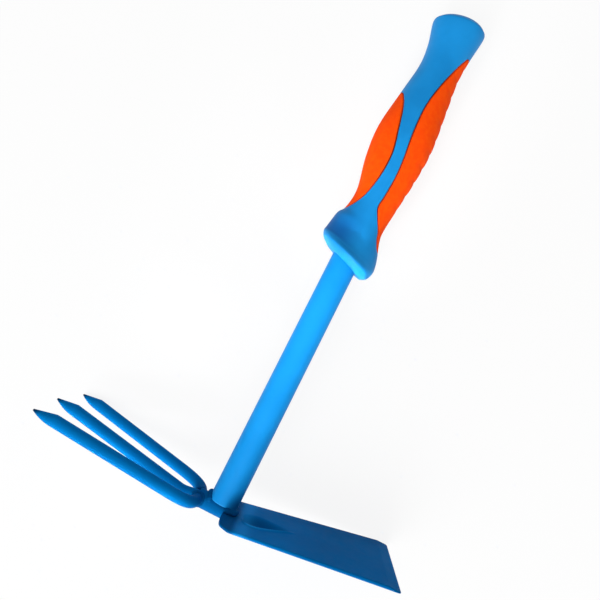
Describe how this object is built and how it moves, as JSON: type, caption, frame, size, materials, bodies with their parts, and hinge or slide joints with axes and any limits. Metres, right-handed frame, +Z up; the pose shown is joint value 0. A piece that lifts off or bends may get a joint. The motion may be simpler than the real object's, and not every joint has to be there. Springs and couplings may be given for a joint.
{
  "type": "hand hoe",
  "caption": "Garden hand hoe: a flat pressed blade on one side of a steel tube, a round-tined fork on the other, and a moulded grip with soft inlays.",
  "frame": {"origin": "middle of the underside of the bounding box: the tool lies on its right side, as on a bench", "axes": "+Y from the head to the pommel along the tube, +X from the fork to the blade, +Z up from the bench"},
  "size_m": [0.1872, 0.2936, 0.063],
  "materials": {
    "tube_paint": "semi-gloss powder coat, light blue",
    "head_paint": "semi-gloss powder coat, blue",
    "grip_plastic": "satin moulded plastic, blue",
    "soft_rubber": "matt soft-touch inlay, orange",
    "plug_plastic": "plain moulded plastic, dark grey"
  },
  "bodies": {
    "root": {"shaft_tube": "tube_paint", "tube_end_plug": "plug_plastic", "grip_core": "grip_plastic", "palm_grip_inlay": "soft_rubber", "finger_grip_inlay": "soft_rubber", "hoe_blade": "head_paint", "blade_weld": "head_paint", "fork_sleeve": "head_paint", "fork_weld": "head_paint", "left_tine": "head_paint", "middle_tine": "head_paint", "right_tine": "head_paint", "left_tine_weld": "head_paint", "right_tine_weld": "head_paint"}
  },
  "joints": []
}
